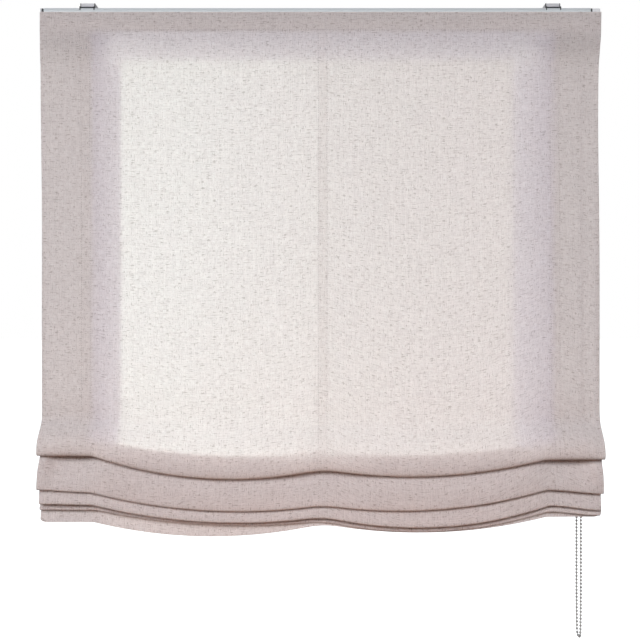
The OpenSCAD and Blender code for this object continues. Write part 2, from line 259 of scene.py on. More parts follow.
CHAIN_X = 444.5
CHAIN_R, SHAFT_Y, SHAFT_Z = 11.591, 3.5, -35.0
BEND_R, BEND_Z, STRAND_END = 9.2, -1071.55, -980.0


def chain_line():
    a = np.radians(np.arange(0, 90, 7.5))
    top = np.stack([SHAFT_Y - CHAIN_R * np.sin(a), SHAFT_Z + CHAIN_R * np.cos(a)], 1)
    z = np.concatenate([np.arange(SHAFT_Z, STRAND_END, -7.0), np.linspace(STRAND_END, BEND_Z, 26)[:-1]])
    t = np.clip((STRAND_END - z) / (STRAND_END - BEND_Z), 0, 1)
    front = np.stack([SHAFT_Y - CHAIN_R + (CHAIN_R - BEND_R) * t * t, z], 1)
    a = np.radians(np.arange(90, 270.1, 7.5))
    bend = np.stack([SHAFT_Y - BEND_R * np.sin(a), BEND_Z + BEND_R * np.cos(a)], 1)
    back = front[::-1].copy()
    back[:, 0] = 2 * SHAFT_Y - back[:, 0]
    a = np.radians(np.arange(270 + 7.5, 360.1, 7.5))
    last = np.stack([SHAFT_Y - CHAIN_R * np.sin(a), SHAFT_Z + CHAIN_R * np.cos(a)], 1)
    yz = np.concatenate([top, front, bend, back, last])
    return np.column_stack([np.full(len(yz), CHAIN_X), yz])


def along(line, s):
    step = np.linalg.norm(np.diff(line, axis=0), axis=1)
    at = np.concatenate([[0], np.cumsum(step)])
    return np.stack([np.interp(s, at, line[:, k]) for k in range(3)], 1), at[-1]


BEAD_R, LINK_R = 2.25, 0.62


def bead_chain(mat):
    line = chain_line()
    length = along(line, np.zeros(1))[1]
    count = int(round(length / 6.0))
    pitch = length / count
    s = (np.arange(count) + 0.5) * pitch
    centre = along(line, s)[0]
    ahead = along(line, np.clip(s + 1.0, 0, length))[0] - along(line, np.clip(s - 1.0, 0, length))[0]
    ahead /= np.linalg.norm(ahead, axis=1)[:, None]
    # one bead: a hollow ball with the small rim of its wire hole at both ends
    prof = [(-2.02, 0.66), (-2.13, 0.86)]
    prof += [(-BEAD_R * math.cos(t), BEAD_R * math.sin(t)) for t in np.radians([30, 48, 66, 84, 96, 114, 132, 150])]
    prof += [(2.13, 0.86), (2.02, 0.66)]
    sides = 12
    parts = []
    for c, t in zip(centre, ahead):
        u = np.array([1.0, 0, 0])
        w = np.cross(t, u)
        ang = np.arange(sides) * 2 * math.pi / sides
        ring = np.cos(ang)[:, None] * u + np.sin(ang)[:, None] * w
        v = np.concatenate([c + h * t + r * ring for h, r in prof])
        f = []
        for k in range(len(prof) - 1):
            for j in range(sides):
                j2 = (j + 1) % sides
                f.append([k * sides + j, k * sides + j2, (k + 1) * sides + j2, (k + 1) * sides + j])
        f.append(list(range(sides))[::-1])
        f.append([(len(prof) - 1) * sides + j for j in range(sides)])
        parts.append((v, f))
    # the wire links between beads
    for i in range(count):
        a, b = centre[i], centre[(i + 1) % count]
        d = (b - a) / np.linalg.norm(b - a)
        parts.append(tube([a + 1.7 * d, a + 0.5 * (b - a), b - 1.7 * d], LINK_R, 6))
    v, f = joined(parts)
    ob = piece("bead_chain_loop", v, f, [mat])
    route = along(line, np.linspace(0, length, 560))[0] * 0.001
    return ob, route, length * 0.001


def chain_material():
    m = Mat("nickel_beads")
    wear = m.noise(m.scaled(900, 900, 900), detail=3.0)
    tone = m.noise(m.scaled(150, 150, 150), detail=1.0)
    colour = m.mix(m.remap(tone, 0.3, 0.7), (0.41, 0.41, 0.42), (0.57, 0.57, 0.56))
    rough = m.remap(wear, 0.3, 0.75, 0.20, 0.36)
    return m.finish(m.principled(colour, rough, m.bump(wear, 0.05, 0.0002), Metallic=0.6))


chain, chain_route, chain_length = bead_chain(chain_material())
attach(chain, "headrail")
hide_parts("bead_chain")

# ---------------------------------------------------------------- the cloth

W = 475.0
LIFT = (-400.0, 4.0, 400.0)
KINK = (-385.0, 4.0, 385.0)
PANEL_Y, FRONT_Y = -12.5, -22.85
# heights at the left, middle and right lift line, the sag of the left and right span,
# how much higher the line ends at the left and right edge, and where it bends at the left and right
FOLD1 = (-764.0, -786.5, -770.5, 26.0, 19.0, 0.5, 0.5, -383.0, 375.0)
FOLD2 = (-824.5, -846.0, -821.5, 19.4, 19.6, 4.0, -7.0, -385.0, 379.0)
FOLD3 = (-846.5, -866.5, -849.0, 18.6, 26.0, 1.5, -8.5, -383.0, 384.0)
FOLD4 = (-857.5, -876.5, -861.0, 15.5, 25.0, 0.5, -6.5, -379.0, 384.0)
HEM = (-878.5, -882.0, -870.5, 22.5, 19.5, 0.0, 0.0, -385.0, 385.0)
RIDGE = (-736.0, -760.0, -742.0, 15.0, 10.5, 0.0, 0.0, -385.0, 385.0)
RIDGE_STEP = 12.0
TAPE_AT = (-8.5, -7.4, -4.0, 0.0, 4.0, 7.4, 8.5)
CLOTH_T = 0.6


def level(f, x):
    """Height of a fold line at x, rounded where a lift line holds it."""
    x = np.asarray(x, float)
    lo, mid, hi = f[7], KINK[1], f[8]
    soft = 3.0 + 22.0 * np.exp(-(((x - mid) / 70.0) ** 2))
    total = np.zeros_like(x)
    taps = np.linspace(-1, 1, 13)
    for k in taps:
        s = x + k * soft
        t0 = np.clip((s - lo) / (mid - lo), 0, 1)
        t1 = np.clip((s - mid) / (hi - mid), 0, 1)
        z = np.where(
            s < mid,
            (1 - t0) * f[0] + t0 * f[1] - 4 * t0 * (1 - t0) * f[3],
            (1 - t1) * f[1] + t1 * f[2] - 4 * t1 * (1 - t1) * f[4],
        )
        z = z + f[5] * smooth((lo - s) / (W + lo)) + f[6] * smooth((s - hi) / (W - hi))
        total += z
    return total / len(taps)


def over(y, z):
    return [(y - 1.4, z - 2), (y, z), (y + 1.5, z - 2.5)]


def under(y0, y1, z, r):
    z = z - 0.12 * r
    return [
        (y0, z + 1.4 * r), (y0 + 0.14 * (y1 - y0), z + 0.35 * r), ((y0 + y1) / 2, z),
        (y1 - 0.14 * (y1 - y0), z + 0.35 * r), (y1, z + 1.4 * r),
    ]


def cloth_controls(x):
    """Control points of the cloth's line for each x: y, z and how far the side edges draw in there."""
    x = np.asarray(x, float)
    one = np.ones_like(x)
    f1, f2, f3, f4 = (level(f, x) for f in (FOLD1, FOLD2, FOLD3, FOLD4))
    a = level(RIDGE, x)
    b, c, d = a - RIDGE_STEP, a - 2 * RIDGE_STEP, a - 3 * RIDGE_STEP
    h = level(HEM, x)
    h = h + 4.5 * np.clip((-466.0 - x) / 9.0, 0, 1) ** 2 + 2.5 * np.clip((x - 466.0) / 9.0, 0, 1) ** 2
    edge_l = smooth((-330.0 - x) / 145.0)
    edge_r = smooth((x - 250.0) / 225.0)
    # 1 where a fold hangs open below the one above it: at the lift lines
    deep = np.clip(plateau(x, -420, 43) + 0.95 * plateau(x, 419, 46) + 0.5 * plateau(x, 8, 80), 0, 1)
    rim = smooth((np.abs(x) - 446.0) / 24.0)
    # 1 between the lift lines, where the layers fall close together towards the front
    gap = np.min([np.abs(x - k) for k in LIFT], axis=0)
    bel = smooth((gap - 25.0) / 80.0) * (np.abs(x) < LIFT[2])
    ya, yb, yc, yd = -13.8 - 13.0 * bel, -12.6 - 10.2 * bel, -11.8 - 6.5 * bel, -10.4 - 2.7 * bel
    cave = deep * (1 - rim)
    pts = []

    def add(*more):
        for q in more:
            pts.append((q[0] * one, q[1] * one, (q[2] if len(q) > 2 else 0.0) * one))

    # panel: over the rail's front, then back to the hanging plane
    add((FRONT_Y, -17.0), (FRONT_Y, -33.0), (FRONT_Y, -50.0), (FRONT_Y + 1.2, -62.0))
    back = [(-80.0, 5.2), (-98.0, 9.0), (-114.0, 10.2), (-150.0, 10.2), (-210.0, 10.2), (-290.0, 10.2)]
    late = [4.0, 5.0, 5.4, 4.6, 3.2, 1.4]
    for (z, dy), l in zip(back, late):
        wave = 0.5 * np.sin(x / 118.0 + z / 170.0) * (1 if z < -110 else 0)
        add((FRONT_Y + dy - l * edge_l + wave, z))
    for z in (-370.0, -450.0, -530.0, -600.0, -650.0, -680.0):
        add((PANEL_Y + 0.6 * np.sin(x / 118.0 + z / 170.0) + 0.35 * np.sin(x / 47.0 - z / 210.0), z))
    # first fold, the front one
    y1 = -42.6 + 0.6 * np.sin(x / 140.0)
    r1 = 8.0 + 4.5 * deep * (1 - rim)
    z_in = f1 + 1.28 * r1 + 3.0
    for t in (0.0, 0.2, 0.4, 0.6, 0.8):
        s = t * t * (3 - 2 * t)
        add((PANEL_Y + (y1 - PANEL_Y) * s, -700.0 + t * (z_in + 700.0)))
    add(*under(y1, y1 + 9.5 + 3.5 * deep, f1, r1))
    # second fold: deep set under the first one at the lift lines, close below it elsewhere
    y2 = -42.0 + 8.0 * edge_r
    leg = [(-16.2, -26.4, -23.0, 3.5), (-17.2, -27.8, -29.0, 3.0), (-18.6, -32.0, -35.0, 2.0), (-30.5, -38.8, -39.5, 0.8)]
    add(*over(ya, a), (ya - 0.7, a - 7))
    for (o, s, e, inset), z in zip(leg, (f1 + 6, f1 - 2, f1 - 10, f1 - 25)):
        y = s + (o - s) * deep
        y = y + (e - y) * rim
        y = PANEL_Y + (y - PANEL_Y) * (1 - 0.17 * edge_r)
        add((y, z, inset))
    add(*under(y2, y2 + 5.2, f2, 5.2))
    near = 1 - 0.17 * edge_r
    add((-31.5 + 5 * edge_r + (4.5 - 2 * edge_r) * cave, f2 + 32), (PANEL_Y + (-17.0 + 12.6 * cave) * near, f1 - 12), (-20.0 + 4.7 * cave - 2.6 * bel, f1 + 2))
    # third fold, set back from the second one at the right edge
    y3 = -38.0 + 8.0 * edge_r
    set_back = plateau(x, 430, 52)
    add(*over(yb, b), (yb - 0.5 + 1.1 * bel, b - 7), (-14.0 - 7.5 * bel, b - 12, 1.0), (-18.5 + 2.5 * cave - 2.6 * bel + 0.6 * edge_r, f2 + 44, 2.0))
    add((-25.0 + 3.0 * edge_r + 3.0 * set_back, f2 + 22, 2.5), (-30.0 + 4.0 * edge_r + 7.0 * set_back, f2 + 3, 1.5))
    add(*[(*q, 3.2) for q in under(y3, y3 + 6.0, f3, 4.0)])
    add((-22.0 + 2.0 * edge_r + 4.2 * set_back, f3 + 34), (-14.0 - 4.8 * bel, b - 26))
    # fourth fold
    y4 = -26.5 + 2.5 * edge_r
    add(*over(yc, c), (yc - 0.3 + 0.7 * bel, c - 7), (-13.0 - 4.0 * bel, c - 12), (-15.2 - 0.8 * bel + 1.0 * set_back, f4 + 40, 1.0), (-19.0 + 1.6 * edge_r, f3 + 3, 1.0))
    add(*under(y4, y4 + 5.0, f4, 3.2))
    add((-13.4 - 1.2 * bel, f4 + 38))
    # tail and hem
    add(*over(yd, d), (-11.5 - 0.9 * bel, d - 14), (-12.4 - 0.6 * bel, h + 46), (-15.6 + 1.8 * edge_r, h + 22), (-21.5 + 4.5 * edge_r, h))
    return np.stack([np.stack(p, -1) for p in pts], 1)


def spline_rows(ctrl, counts):
    """A smooth line over the control points, the same number of rows in every column."""
    p = np.concatenate([ctrl[:, :1], ctrl[:, :1], ctrl, ctrl[:, -1:], ctrl[:, -1:]], 1)
    rows = []
    for i, n in enumerate(counts):
        for t in np.arange(n) / n:
            w = ((1 - t) ** 3 / 6, (3 * t**3 - 6 * t**2 + 4) / 6, (-3 * t**3 + 3 * t**2 + 3 * t + 1) / 6, t**3 / 6)
            rows.append(sum(wk * p[:, i + k] for k, wk in enumerate(w)))
    rows.append(p[:, -1])
    return np.stack(rows, 1)


def row_counts():
    c = cloth_controls(np.array([-200.0]))[0][:, :2]
    seg = np.linalg.norm(np.diff(c, axis=0), axis=1)
    spans = np.concatenate([[seg[0] / 2], [seg[0] / 2], seg[1:], [seg[-1] / 2], [seg[-1] / 2]])[: len(c) + 1]
    n = np.clip(np.ceil(spans / 4.0), 2, 9).astype(int)
    return n


COUNTS = row_counts()


def shift_x(x, z):
    """Small in-plane wander of the side edges."""
    right = smooth((x - 260.0) / 215.0)
    left = smooth((-260.0 - x) / 215.0)
    dip = np.exp(-(((z + 190.0) / 150.0) ** 2))
    low = smooth((-858.0 - z) / 12.0)
    return -2.6 * right * dip - 3.4 * right * low + left * (1.9 - 0.9 * np.exp(-(((z + 160.0) / 130.0) ** 2)))


def cloth_surface(x):
    """Middle surface for the columns at x: points (rows, columns, 3) and its back-facing normals."""
    x = np.asarray(x, float)
    yz = spline_rows(cloth_controls(x), COUNTS).transpose(1, 0, 2)
    xx = np.broadcast_to(x, yz.shape[:2])
    rim = smooth((np.abs(xx) - 425.0) / 50.0)
    p = np.stack([xx + shift_x(xx, yz[..., 1]) - np.sign(xx) * rim * yz[..., 2], yz[..., 0], yz[..., 1]], -1)
    t = np.gradient(yz[..., :2], axis=0)
    t /= np.maximum(np.linalg.norm(t, axis=2), 1e-9)[..., None]
    n = np.stack([np.zeros_like(xx), -t[..., 1], t[..., 0]], -1)
    return p, n


def run_length(p):
    step = np.linalg.norm(np.diff(p, axis=0), axis=2)
    return np.concatenate([np.zeros((1, p.shape[1])), np.cumsum(step, 0)])


def columns():
    base = np.concatenate([
        np.linspace(-W, W, 92),
        [k + o for k in KINK for o in (-14, -10, -6, -2, 2, 6, 10)],
        [s * (W - o) for s in (-1, 1) for o in (1.2, 3.5, 6.5, 15.0)],
    ])
    sewn = np.array([k + o for k in LIFT for o in TAPE_AT])
    keep = [-W]
    for v in np.sort(base)[1:]:
        if v - keep[-1] > 1.1 and np.min(np.abs(sewn - v)) > 1.3:
            keep.append(v)
    return np.sort(np.concatenate([keep, sewn]))


def cloth(mat):
    x = columns()
    p, n = cloth_surface(x)
    rows, cols = p.shape[:2]
    run = run_length(p)
    # turned hems at the sides and the bottom lie on the back
    side = smooth((np.abs(x) - (W - 16.0)) / 1.5)[None, :] * smooth((-34.0 - p[..., 2]) / 6.0)
    low = smooth((run - (run[-1:] - 24.0)) / 1.5)
    thick_back = 0.5 * CLOTH_T + 0.45 * np.maximum(side, low)
    front = p - n * (0.5 * CLOTH_T)
    behind = p + n * thick_back[..., None]
    v = np.concatenate([front.reshape(-1, 3), behind.reshape(-1, 3)])
    off = rows * cols
    f = [grid_faces(rows, cols, 0, True), grid_faces(rows, cols, off, False)]

    def strip(i, flip):
        i = np.asarray(i)
        q = np.stack([i[:-1], i[1:], i[1:] + off, i[:-1] + off], -1)
        return q[:, ::-1] if flip else q

    f.append(strip(np.arange(cols), False))
    f.append(strip((rows - 1) * cols + np.arange(cols), True))
    f.append(strip(np.arange(rows) * cols, True))
    f.append(strip(np.arange(rows) * cols + cols - 1, False))
    f = np.concatenate(f)
    ob = piece("linen_cloth", v, f, [mat])
    # flat layout of both faces, side by side
    u = (np.broadcast_to(x, (rows, cols)) + W) / (2 * W)
    s = run / run[-1:]
    uv0 = np.stack([0.005 + 0.485 * u, 0.995 - 0.99 * s], -1).reshape(-1, 2)
    uv1 = np.stack([0.995 - 0.485 * u, 0.995 - 0.99 * s], -1).reshape(-1, 2)
    uv = np.concatenate([uv0, uv1])
    layer = ob.data.uv_layers.new(name="OFBake")
    loops = np.zeros(len(ob.data.loops), np.int32)
    ob.data.loops.foreach_get("vertex_index", loops)
    co = uv[loops]
    # the narrow edge faces take the front's coordinates
    start = np.zeros(len(ob.data.polygons), np.int32)
    ob.data.polygons.foreach_get("loop_start", start)
    n_grid = 2 * (rows - 1) * (cols - 1)
    for st in start[n_grid:]:
        ids = loops[st : st + 4]
        co[st : st + 4] = uv[np.where(ids >= off, ids - off, ids)]
    layer.data.foreach_set("uv", co.astype(np.float32).ravel())
    return ob, float(run[-1].mean()), float(run[-1].min()), float(run[-1].max())


def cloth_material():
    m = Mat("linen_cloth")
    flat = m.add("ShaderNodeSeparateXYZ")
    m.put(flat.inputs[0], m.add("ShaderNodeUVMap", uv_map="OFBake").outputs[0])
    x = m.math("MULTIPLY", flat.outputs[0], 0.950 / 0.485)
    run = m.math("MULTIPLY", flat.outputs[1], 1.440 / 0.990)

    def streaks(fx, fz, shift, detail=1.0):
        v = m.vec(m.math("MULTIPLY", x, fx), m.math("ADD", m.math("MULTIPLY", run, fz), shift))
        return m.noise(v, 1.0, detail, 0.6, "2D")

    def total(*terms):
        out = None
        for value, share in terms:
            t = m.math("MULTIPLY", value, share)
            out = t if out is None else m.math("ADD", out, t)
        return out

    # threads of uneven tone, short and long, both ways
    thread = total(
        (streaks(85.0, 620.0, 3.0), 0.30), (streaks(620.0, 85.0, 41.0), 0.30),
        (streaks(16.0, 480.0, 87.0), 0.20), (streaks(480.0, 16.0, 29.0), 0.20),
    )
    tone = m.remap(thread, 0.38, 0.62)
    colour = m.mix(tone, (0.845, 0.755, 0.748), (0.955, 0.868, 0.862))
    clouds = m.noise(m.vec(x, run), 9.0, 2.0, 0.5, "2D")
    colour = m.mix(m.remap(clouds, 0.3, 0.7, 0.0, 0.07), colour, (0.86, 0.79, 0.75))
    # dark and light slubs, here and there
    dark_h = m.remap(streaks(100.0, 560.0, 11.0, 0.0), 0.73, 0.82)
    dark_v = m.remap(streaks(560.0, 150.0, 67.0, 0.0), 0.76, 0.84)
    nep = m.remap(m.noise(m.vec(x, run), 520.0, 0.0, 0.5, "2D"), 0.78, 0.86)
    slub = m.math("MAXIMUM", m.math("MAXIMUM", dark_h, dark_v), nep)
    pale_h = m.remap(streaks(130.0, 560.0, 131.0, 0.0), 0.70, 0.80)
    pale_v = m.remap(streaks(560.0, 140.0, 173.0, 0.0), 0.70, 0.80)
    pale = m.math("MAXIMUM", pale_h, pale_v)
    colour = m.mix(m.math("MULTIPLY", pale, 0.45), colour, (1.0, 0.94, 0.935))
    colour = m.mix(m.math("MULTIPLY", slub, 0.46), colour, (0.40, 0.31, 0.28))

    # the weave itself: about eleven threads to the centimetre each way
    weave = m.math(
        "MULTIPLY",
        m.math("SINE", m.math("MULTIPLY", x, 3450.0)),
        m.math("SINE", m.math("MULTIPLY", run, 3450.0)),
    )
    height = total((weave, 0.25), (tone, 0.5), (slub, 0.6), (pale, 0.3))
    normal = m.bump(height, 0.22, 0.0004)
    lively = m.mix(m.math("MULTIPLY", m.math("SUBTRACT", 0.62, thread), 1.9, True), m.mix(1.0, colour, (1.035, 1.05, 1.055), "MULTIPLY"), m.mix(1.0, colour, (0.86, 0.875, 0.88), "MULTIPLY"))
    face = m.principled(lively, 0.88, normal, Sheen_Weight=0.1, Sheen_Roughness=0.5, Specular_IOR_Level=0.2)
    through = m.add("ShaderNodeBsdfTranslucent")
    m.put(through.inputs["Color"], m.mix(1.0, colour, (0.98, 1.0, 0.955), "MULTIPLY"))
    m.put(through.inputs["Normal"], normal)
    both = m.add("ShaderNodeMixShader")
    both.inputs[0].default_value = 0.5
    m.nt.links.new(face.outputs[0], both.inputs[1])
    m.nt.links.new(through.outputs[0], both.inputs[2])
    return m.finish(both)


linen = cloth_material()
blind, cloth_run, run_min, run_max = cloth(linen)
print("CLOTH run mean %.1f min %.1f max %.1f mm, faces %d" % (cloth_run, run_min, run_max, len(blind.data.polygons)))
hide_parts("fabric_panel", "fabric_folds")

# ---------------------------------------------------------------- tapes, loops and stitching on the cloth

tape_mat = woven("sheer_tape", (0.95, 0.95, 0.94), (0.84, 0.83, 0.82), 5200.0, 4100.0, alpha=0.16)
loop_mat = woven("tape_loop_thread", (0.95, 0.95, 0.94), (0.80, 0.79, 0.78), 9000.0, 9000.0, 0.8, 0.2, 0.5)
thread_mat = woven("sewing_thread", (0.62, 0.54, 0.52), (0.42, 0.35, 0.33), 9000.0, 9000.0, 0.8, 0.2)
cord_mat = woven("braided_cord", (0.94, 0.94, 0.92), (0.76, 0.76, 0.74), 7000.0, 5200.0, 0.75, 0.4)

PANEL_ROWS = (-77.0, -262.0, -447.0, -632.0)
SIDE = ("left", "centre", "right")


def tape(i):
    """One lift tape on the back of the cloth, from below the rail over every fold to the last loop."""
    xs = LIFT[i] + np.array(TAPE_AT)
    p, n = cloth_surface(xs)
    z = p[:, 3, 2]
    d = float(level(RIDGE, np.array([LIFT[i]]))[0]) - 3 * RIDGE_STEP
    first = int(np.argmax(z < -52.0))
    last = len(z) - 1
    while abs(z[last] - (d - 22.0)) > 2.5:
        last -= 1
    p, n = p[first : last + 1], n[first : last + 1]
    rows, cols = p.shape[:2]
    crown = np.array([0.02, 0.16, 0.2, 0.22, 0.2, 0.16, 0.02])[None, :, None]
    inner = p + n * (0.5 * CLOTH_T + 0.03)
    outer = p + n * (0.5 * CLOTH_T + 0.33 + crown)
    v = np.concatenate([inner.reshape(-1, 3), outer.reshape(-1, 3)])
    off = rows * cols
    f = [grid_faces(rows, cols, 0, True), grid_faces(rows, cols, off, False)]

    def strip(k, flip):
        k = np.asarray(k)
        q = np.stack([k[:-1], k[1:], k[1:] + off, k[:-1] + off], -1)
        return q[:, ::-1] if flip else q

    f += [strip(np.arange(cols), False), strip((rows - 1) * cols + np.arange(cols), True)]
    f += [strip(np.arange(rows) * cols, True), strip(np.arange(rows) * cols + cols - 1, False)]
    return v, np.concatenate(f).tolist()


def loops(i):
    """The tape's cord loops: four on the panel, four drawn together at the folds."""
    a = float(level(RIDGE, np.array([LIFT[i]]))[0])
    places = [(z, None) for z in PANEL_ROWS] + [(a - k * RIDGE_STEP, -13.0) for k in range(4)]
    p, n = cloth_surface(np.array([LIFT[i]]))
    parts = []
    for z, y0 in places:
        if y0 is None:
            k = int(np.argmin(np.abs(p[:140, 0, 2] - z)))
            y0 = p[k, 0, 1] + 0.6
        else:
            z = z + 0.4
        ang = np.radians(np.linspace(-8, 188, 15))
        reach = -6.0 - y0
        line = np.stack([LIFT[i] + 4.2 * np.cos(ang), y0 + reach * np.sin(ang), np.full(15, z) + 0.5 * np.sin(2 * ang)], 1)
        for dz in (-0.75, 0.0, 0.75):
            parts.append(tube(line + np.array([0, 0, dz]), 0.45, 6))
    return joined(parts)


STITCH_FACES = [[0, 2, 1], [0, 3, 2], [0, 4, 3], [0, 1, 4], [5, 1, 2], [5, 2, 3], [5, 3, 4], [5, 4, 1]]
TOP_SEAM_AND_SHADOW_Z = -47.5


def stitches():
    """Rows of machine stitches on the cloth's face: along both edges of every tape and below the rail, where the dark
    row is a seam that also paints the shadow line of the rail's lower edge.
    """
    parts = []
    for i in range(3):
        for o in (-7.4, 7.4):
            p, n = cloth_surface(np.array([LIFT[i] + o]))
            p, n = p[:, 0], n[:, 0]
            step = np.linalg.norm(np.diff(p, axis=0), axis=1)
            at = np.concatenate([[0], np.cumsum(step)])
            s = np.arange(36.0, at[-1] - 66.0, 4.0)
            c = np.stack([np.interp(s, at, p[:, k]) for k in range(3)], 1)
            m = np.stack([np.interp(s, at, n[:, k]) for k in range(3)], 1)
            m /= np.linalg.norm(m, axis=1)[:, None]
            for q, w in zip(c, m):
                t = np.cross(w, [1.0, 0, 0])
                o3 = q - w * (0.5 * CLOTH_T + 0.02)
                v = np.array([
                    o3 - 1.5 * t, o3 + np.array([0.34, 0, 0]), o3 - w * 0.30,
                    o3 - np.array([0.34, 0, 0]), o3 + w * 0.12, o3 + 1.5 * t,
                ])
                parts.append((v, STITCH_FACES))
    # a seam below the rail; its dark thread also paints the shadow line of the rail's lower edge
    for x in np.arange(-388.0, 385.0, 4.0):
        o3 = np.array([x, FRONT_Y - 0.5 * CLOTH_T - 0.02, TOP_SEAM_AND_SHADOW_Z])
        t, w, e = np.array([1.0, 0, 0]), np.array([0, 1.0, 0]), np.array([0, 0, 0.30])
        v = np.array([o3 - 1.5 * t, o3 - e, o3 - w * 0.28, o3 + e, o3 + w * 0.12, o3 + 1.5 * t])
        parts.append((v, STITCH_FACES))
    return joined(parts)


soft_pieces = [blind]
for i, s in enumerate(SIDE):
    v, f = tape(i)
    ob = piece("lift_tape_" + s + "_woven", v, f, [tape_mat])
    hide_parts("lift_tape_" + s)
    soft_pieces.append(ob)
    v, f = loops(i)
    ob = piece("tape_loops_" + s, v, f, [loop_mat])
    soft_pieces.append(ob)
v, f = stitches()
stitch = piece("tape_stitching", v, f, [thread_mat])
soft_pieces.append(stitch)
for ob in soft_pieces:
    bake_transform(ob)

# ---------------------------------------------------------------- lift cords and their turns on the drums

CORD_Y, CORD_R = -7.5, 0.6
for i, s in enumerate(SIDE):
    d = float(level(RIDGE, np.array([LIFT[i]]))[0]) - 3 * RIDGE_STEP
    z = np.linspace(SHAFT_Z, d - 11.0, 90)
    line = np.stack([np.full(90, LIFT[i]), np.full(90, CORD_Y), z], 1)
    ob = piece("lift_cord_" + s + "_braid", *tube(line, CORD_R, 8), [cord_mat])
    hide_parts("lift_cord_" + s)
    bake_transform(ob)
    turns = 8.4
    ang = np.linspace(0, turns * 2 * math.pi, int(turns * 22))
    r = 11.02
    line = np.stack([
        LIFT[i] + 0.2 + 1.28 * ang / (2 * math.pi), SHAFT_Y - r * np.cos(ang), SHAFT_Z + r * np.sin(ang),
    ], 1)
    ob = piece("cord_turns_" + s, *tube(line, CORD_R, 6), [cord_mat])
    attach(ob, "drive_train")

# ---------------------------------------------------------------- finishes of the CAD parts

def rail_finish():
    """Satin extrusion, with painted shade darkening it along its top edge."""
    m = Mat("satin_rail")
    x, y, z = m.xyz()
    lines = m.noise(m.scaled(60, 2600, 2600), detail=2.0)
    colour = m.mix(m.remap(lines, 0.3, 0.7), (0.69, 0.715, 0.735), (0.81, 0.835, 0.85))
    # painted shade: the top few millimetres of the rail are darkened
    top_edge_shade = m.remap(z, -0.0128, -0.0112)
    colour = m.mix(m.math("MULTIPLY", top_edge_shade, 0.6), colour, (0.58, 0.59, 0.61))
    return m.finish(m.principled(colour, 0.44, m.bump(lines, 0.05, 0.0002), Metallic=0.15))


def bracket_finish():
    """Zinc plate, with painted shade near-black on the front of its cheek edges and of its feet below the flange."""
    m = Mat("zinc_bracket")
    x, y, z = m.xyz()
    lines = m.noise(m.scaled(90, 1400, 1400), detail=2.0)
    colour = m.mix(m.remap(lines, 0.3, 0.7), (0.66, 0.64, 0.67), (0.82, 0.80, 0.83))
    # painted shade: the front faces of the cheek edges and of everything below the flange are turned near-black
    off = m.math("ABSOLUTE", m.math("SUBTRACT", m.math("ABSOLUTE", x, 0.0), 0.3945))
    front = m.remap(y, -0.0138, -0.0148)
    edge = m.math("MAXIMUM", m.remap(off, 0.0108, 0.0114), m.remap(z, -0.0052, -0.0060))
    colour = m.mix(m.math("MULTIPLY", edge, front), colour, (0.035, 0.034, 0.038))
    return m.finish(m.principled(colour, 0.42, m.bump(lines, 0.05, 0.0002), Metallic=0.4))


def cap_finish(name, light, dark, rough, x0, x1):
    """Moulded end cap, with painted shade in the narrow groove where it meets the rail."""
    m = Mat(name)
    x, y, z = m.xyz()
    grain = m.noise(m.scaled(700, 700, 700), detail=2.0)
    colour = m.mix(m.remap(grain, 0.3, 0.7), dark, light)
    # painted shade: the narrow groove next to the rail is turned near-black
    off = m.math("ABSOLUTE", m.math("SUBTRACT", x, (x0 + x1) / 2), 0.0)
    groove_shade = m.remap(off, (x1 - x0) / 2 + 0.0003, (x1 - x0) / 2 - 0.0003)
    colour = m.mix(groove_shade, colour, (0.06, 0.062, 0.066))
    return m.finish(m.principled(colour, rough, m.bump(grain, 0.1, 0.0002)))


FINISH = {
    "rail": rail_finish(),
    "cap_grey": cap_finish("cap_grey", (0.62, 0.62, 0.64), (0.54, 0.54, 0.56), 0.5, -0.4712, -0.4678),
    "cap_white": cap_finish("cap_white", (0.80, 0.79, 0.80), (0.72, 0.71, 0.72), 0.45, 0.4570, 0.4602),
    "bracket": bracket_finish(),
    "clip": metal("spring_clip", (0.055, 0.055, 0.06), (0.03, 0.03, 0.032), 0.35, "y", 1400.0, shine=0.3),
    "hook": woven("hook_tape", (0.42, 0.42, 0.41), (0.24, 0.24, 0.24), 4200.0, 4200.0, 0.8, 0.7),
    "loop": woven("loop_tape", (0.40, 0.40, 0.39), (0.26, 0.26, 0.25), 2600.0, 2900.0, 0.95, 0.5),
    "shaft": metal("drawn_shaft", (0.60, 0.61, 0.62), (0.44, 0.45, 0.46), 0.3, "x"),
    "white": plastic("white_plastic", (0.86, 0.86, 0.84), (0.78, 0.78, 0.76), 0.38),
    "clear": plastic("cradle_plastic", (0.80, 0.81, 0.81), (0.70, 0.71, 0.71), 0.32),
    "dark": plastic("hub_plastic", (0.10, 0.10, 0.105), (0.05, 0.05, 0.052), 0.42),
    "spring": metal("spring_wire", (0.55, 0.56, 0.58), (0.40, 0.41, 0.43), 0.25, "x", 1500.0),
}
WEARS = {
    "headrail": "rail", "end_cap_left": "cap_grey", "end_cap_right": "cap_white",
    "bracket_left": "bracket", "bracket_right": "bracket",
    "bracket_clip_left": "clip", "bracket_clip_right": "clip",
    "hook_strip": "hook", "loop_strip": "loop", "drive_shaft": "shaft",
    "drum_left": "white", "drum_centre": "white", "drum_right": "white",
    "cradle_left": "clear", "cradle_centre": "clear", "cradle_right": "clear",
    "shaft_bush": "white", "drive_housing": "white", "chain_wheel": "white",
    "clutch_springs": "spring", "clutch_hub": "dark",
    "cord_stop_left": "white", "cord_stop_centre": "white", "cord_stop_right": "white",
}
for name, look in WEARS.items():
    ob = nodes[name]
    ob.data.materials.clear()
    ob.data.materials.append(FINISH[look])

# ---------------------------------------------------------------- floor and light

scene.view_settings.view_transform = "Standard"
scene.view_settings.look = "None"
scene.view_settings.exposure = 0.0
scene.view_settings.gamma = 1.0

